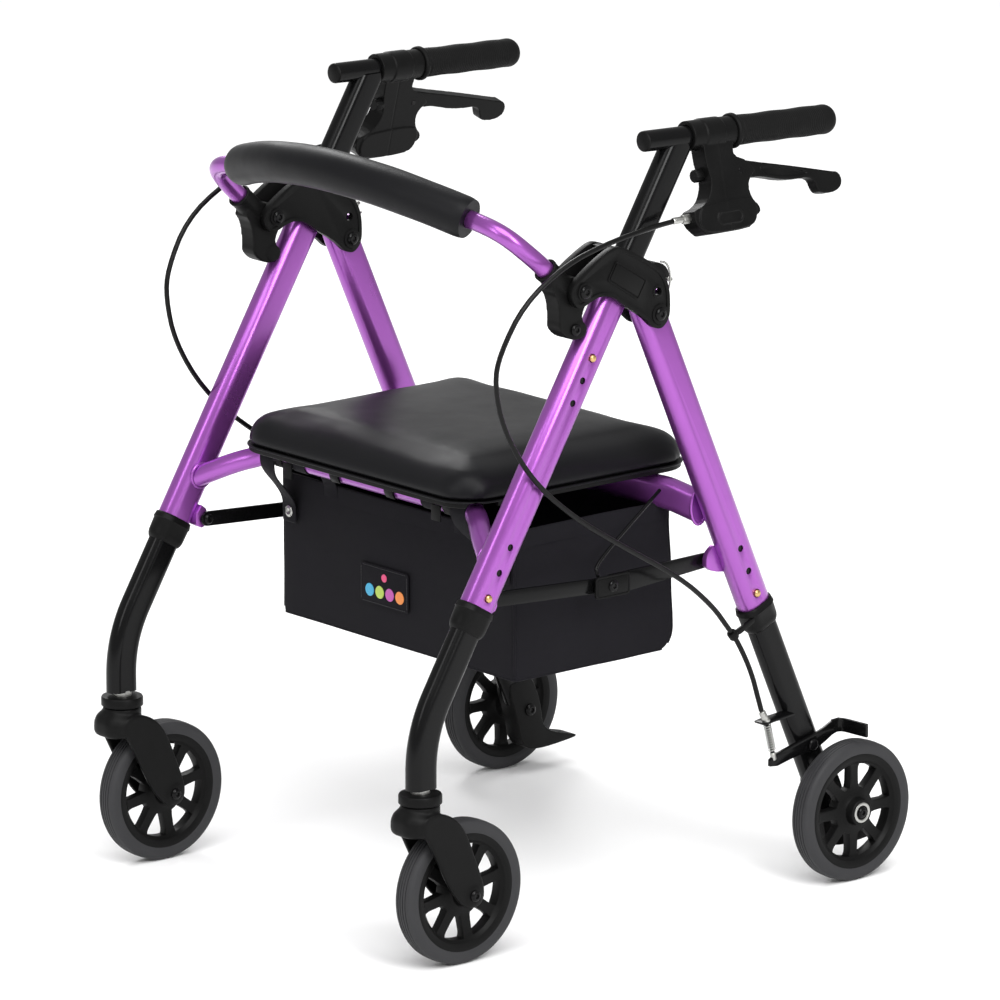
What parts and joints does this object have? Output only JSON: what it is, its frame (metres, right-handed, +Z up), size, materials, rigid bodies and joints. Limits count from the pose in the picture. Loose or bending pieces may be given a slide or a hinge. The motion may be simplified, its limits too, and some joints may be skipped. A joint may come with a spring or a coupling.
{
  "type": "rollator walker",
  "caption": "Four-wheeled folding rollator walker in purple tube with padded seat, foam backrest, hand brakes, telescoping legs and handles, swivel front casters and an under-seat bag",
  "frame": {"origin": "floor level under the middle of the whole object", "axes": "+Z up, the front faces -Y, +X is the left side of the person pushing it"},
  "size_m": [0.6172, 0.667, 0.8413],
  "materials": {
    "purple_paint": "metallic satin",
    "black_anodised": "satin",
    "black_plastic": "fine texture",
    "black_vinyl": "soft grain",
    "black_foam": "matte",
    "black_fabric": "plain weave",
    "black_rubber": "matte",
    "grey_tyre": "matte",
    "zinc_steel": "zinc plated",
    "brass": "satin",
    "cable_sheath": "semi gloss"
  },
  "bodies": {
    "frame": {"front_rail": "purple_paint", "bag": "black_fabric", "front_leg_left": "purple_paint", "hub_outer_left": "black_plastic", "hub_inner_left": "black_plastic", "fold_bolt_left": "zinc_steel", "front_collar_left": "black_plastic", "brake_cable_left": "cable_sheath", "front_leg_right": "purple_paint", "hub_outer_right": "black_plastic", "hub_inner_right": "black_plastic", "fold_bolt_right": "zinc_steel", "front_collar_right": "black_plastic", "brake_cable_right": "cable_sheath"},
    "rear_frame": {"rear_brace": "purple_paint", "rear_leg_left": "purple_paint", "rear_collar_left": "black_plastic", "rear_leg_right": "purple_paint", "rear_collar_right": "black_plastic"},
    "backrest": {"backrest_bar": "purple_paint", "backrest_pad": "black_foam", "backrest_clamp_left": "black_plastic", "backrest_clamp_right": "black_plastic"},
    "seat": {"seat_pan": "black_plastic", "seat_cushion": "black_vinyl"},
    "strut_front_left_bar": {"strut_front_left": "black_anodised"},
    "strut_rear_left_bar": {"strut_rear_left": "black_anodised"},
    "handle_left": {"handle_post_left": "black_anodised", "grip_left": "black_rubber", "brake_housing_left": "black_plastic"},
    "brake_lever_left_body": {"brake_lever_left": "black_plastic"},
    "front_lower_left": {"front_lower_leg_left": "black_anodised"},
    "caster_left": {"caster_fork_left": "black_plastic"},
    "caster_wheel_left": {"caster_hub_left": "black_plastic", "caster_tyre_left": "grey_tyre"},
    "rear_lower_left": {"rear_lower_leg_left": "black_anodised"},
    "rear_wheel_left": {"rear_hub_left": "black_plastic", "rear_tyre_left": "grey_tyre"},
    "brake_arm_left_body": {"brake_arm_left": "black_anodised"},
    "button_handle_left": {"snap_button_handle_left": "brass"},
    "button_front_left": {"snap_button_front_left": "brass"},
    "button_rear_left": {"snap_button_rear_left": "brass"},
    "strut_front_right_bar": {"strut_front_right": "black_anodised"},
    "strut_rear_right_bar": {"strut_rear_right": "black_anodised"},
    "handle_right": {"handle_post_right": "black_anodised", "grip_right": "black_rubber", "brake_housing_right": "black_plastic"},
    "brake_lever_right_body": {"brake_lever_right": "black_plastic"},
    "front_lower_right": {"front_lower_leg_right": "black_anodised"},
    "caster_right": {"caster_fork_right": "black_plastic"},
    "caster_wheel_right": {"caster_hub_right": "black_plastic", "caster_tyre_right": "grey_tyre"},
    "rear_lower_right": {"rear_lower_leg_right": "black_anodised"},
    "rear_wheel_right": {"rear_hub_right": "black_plastic", "rear_tyre_right": "grey_tyre"},
    "brake_arm_right_body": {"brake_arm_right": "black_anodised"},
    "button_handle_right": {"snap_button_handle_right": "brass"},
    "button_front_right": {"snap_button_front_right": "brass"},
    "button_rear_right": {"snap_button_rear_right": "brass"}
  },
  "joints": [
    {"name": "fold", "type": "hinge", "parent": "frame", "child": "rear_frame", "pos_m": [0, -0.0011, 0.648], "axis": [1, 0, 0], "range_deg": [-38, 0], "deforming": ["brake_cable_left", "brake_cable_right"]},
    {"name": "seat_lift", "type": "hinge", "parent": "frame", "child": "seat", "pos_m": [0, -0.165, 0.4488], "axis": [1, 0, 0], "range_deg": [0, 45]},
    {"name": "backrest_fold", "type": "hinge", "parent": "frame", "child": "backrest", "pos_m": [0, -0.1027, 0.6849], "axis": [1, 0, 0], "range_deg": [-60, 0]},
    {"name": "strut_front_left_pivot", "type": "hinge", "parent": "frame", "child": "strut_front_left_bar", "pos_m": [0.2302, -0.202, 0.37], "axis": [1, 0, 0], "range_deg": [0, 54]},
    {"name": "strut_rear_left_pivot", "type": "hinge", "parent": "rear_frame", "child": "strut_rear_left_bar", "pos_m": [0.2342, 0.095, 0.3655], "axis": [1, 0, 0], "range_deg": [-57, 0]},
    {"name": "handle_left_height", "type": "slide", "parent": "frame", "child": "handle_left", "axis": [0, 0.5167, 0.8562], "range_m": [-0.0508, 0], "deforming": ["brake_cable_left"]},
    {"name": "brake_lever_left_squeeze", "type": "hinge", "parent": "handle_left", "child": "brake_lever_left_body", "pos_m": [0.26415, 0.105, 0.78253], "axis": [0.9659, 0, 0.2588], "range_deg": [0, 12], "stiffness_Nm_per_rad": 1.5, "springref_deg": -5.73},
    {"name": "front_leg_left_height", "type": "slide", "parent": "frame", "child": "front_lower_left", "axis": [0, -0.5167, -0.8562], "range_m": [-0.057, 0]},
    {"name": "caster_left_swivel", "type": "hinge", "parent": "front_lower_left", "child": "caster_left", "pos_m": [0.2488, -0.3045, 0.17], "axis": [0, 0, 1], "continuous": true},
    {"name": "caster_wheel_left_spin", "type": "hinge", "parent": "caster_left", "child": "caster_wheel_left", "pos_m": [0.2488, -0.254, 0.0762], "axis": [1, 0, 0], "continuous": true},
    {"name": "rear_leg_left_height", "type": "slide", "parent": "rear_frame", "child": "rear_lower_left", "axis": [0, 0.4094, -0.9124], "range_m": [-0.057, 0], "deforming": ["brake_cable_left"]},
    {"name": "rear_wheel_left_spin", "type": "hinge", "parent": "rear_lower_left", "child": "rear_wheel_left", "pos_m": [0.2876, 0.2573, 0.0762], "axis": [1, 0, 0], "continuous": true},
    {"name": "brake_arm_left_pivot", "type": "hinge", "parent": "rear_lower_left", "child": "brake_arm_left_body", "pos_m": [0.2648, 0.22, 0.15], "axis": [1, 0, 0], "range_deg": [-5.6, 0]},
    {"name": "button_handle_left_press", "type": "slide", "parent": "frame", "child": "button_handle_left", "axis": [-1, 0, 0], "range_m": [0, 0.004], "stiffness_N_per_m": 300, "springref_m": -0.002},
    {"name": "button_front_left_press", "type": "slide", "parent": "frame", "child": "button_front_left", "axis": [-1, 0, 0], "range_m": [0, 0.004], "stiffness_N_per_m": 300, "springref_m": -0.002},
    {"name": "button_rear_left_press", "type": "slide", "parent": "rear_frame", "child": "button_rear_left", "axis": [-1, 0, 0], "range_m": [0, 0.004], "stiffness_N_per_m": 300, "springref_m": -0.002},
    {"name": "strut_front_right_pivot", "type": "hinge", "parent": "frame", "child": "strut_front_right_bar", "pos_m": [-0.2302, -0.202, 0.37], "axis": [1, 0, 0], "range_deg": [0, 54]},
    {"name": "strut_rear_right_pivot", "type": "hinge", "parent": "rear_frame", "child": "strut_rear_right_bar", "pos_m": [-0.2342, 0.095, 0.3655], "axis": [1, 0, 0], "range_deg": [-57, 0]},
    {"name": "handle_right_height", "type": "slide", "parent": "frame", "child": "handle_right", "axis": [0, 0.5167, 0.8562], "range_m": [-0.0508, 0], "deforming": ["brake_cable_right"]},
    {"name": "brake_lever_right_squeeze", "type": "hinge", "parent": "handle_right", "child": "brake_lever_right_body", "pos_m": [-0.26415, 0.105, 0.78253], "axis": [0.9659, 0, -0.2588], "range_deg": [0, 12], "stiffness_Nm_per_rad": 1.5, "springref_deg": -5.73},
    {"name": "front_leg_right_height", "type": "slide", "parent": "frame", "child": "front_lower_right", "axis": [0, -0.5167, -0.8562], "range_m": [-0.057, 0]},
    {"name": "caster_right_swivel", "type": "hinge", "parent": "front_lower_right", "child": "caster_right", "pos_m": [-0.2488, -0.3045, 0.17], "axis": [0, 0, 1], "continuous": true},
    {"name": "caster_wheel_right_spin", "type": "hinge", "parent": "caster_right", "child": "caster_wheel_right", "pos_m": [-0.2488, -0.254, 0.0762], "axis": [1, 0, 0], "continuous": true},
    {"name": "rear_leg_right_height", "type": "slide", "parent": "rear_frame", "child": "rear_lower_right", "axis": [0, 0.4094, -0.9124], "range_m": [-0.057, 0], "deforming": ["brake_cable_right"]},
    {"name": "rear_wheel_right_spin", "type": "hinge", "parent": "rear_lower_right", "child": "rear_wheel_right", "pos_m": [-0.2876, 0.2573, 0.0762], "axis": [1, 0, 0], "continuous": true},
    {"name": "brake_arm_right_pivot", "type": "hinge", "parent": "rear_lower_right", "child": "brake_arm_right_body", "pos_m": [-0.2648, 0.22, 0.15], "axis": [1, 0, 0], "range_deg": [-5.6, 0]},
    {"name": "button_handle_right_press", "type": "slide", "parent": "frame", "child": "button_handle_right", "axis": [1, 0, 0], "range_m": [0, 0.004], "stiffness_N_per_m": 300, "springref_m": -0.002},
    {"name": "button_front_right_press", "type": "slide", "parent": "frame", "child": "button_front_right", "axis": [1, 0, 0], "range_m": [0, 0.004], "stiffness_N_per_m": 300, "springref_m": -0.002},
    {"name": "button_rear_right_press", "type": "slide", "parent": "rear_frame", "child": "button_rear_right", "axis": [1, 0, 0], "range_m": [0, 0.004], "stiffness_N_per_m": 300, "springref_m": -0.002}
  ],
  "couplings": [
    {"joint": "strut_front_left_pivot", "follows": "fold", "ratio": -1.397},
    {"joint": "strut_rear_left_pivot", "follows": "fold", "ratio": 1.492},
    {"joint": "brake_arm_left_pivot", "follows": "brake_lever_left_squeeze", "ratio": -0.458},
    {"joint": "strut_front_right_pivot", "follows": "fold", "ratio": -1.397},
    {"joint": "strut_rear_right_pivot", "follows": "fold", "ratio": 1.492},
    {"joint": "brake_arm_right_pivot", "follows": "brake_lever_right_squeeze", "ratio": -0.458}
  ]
}
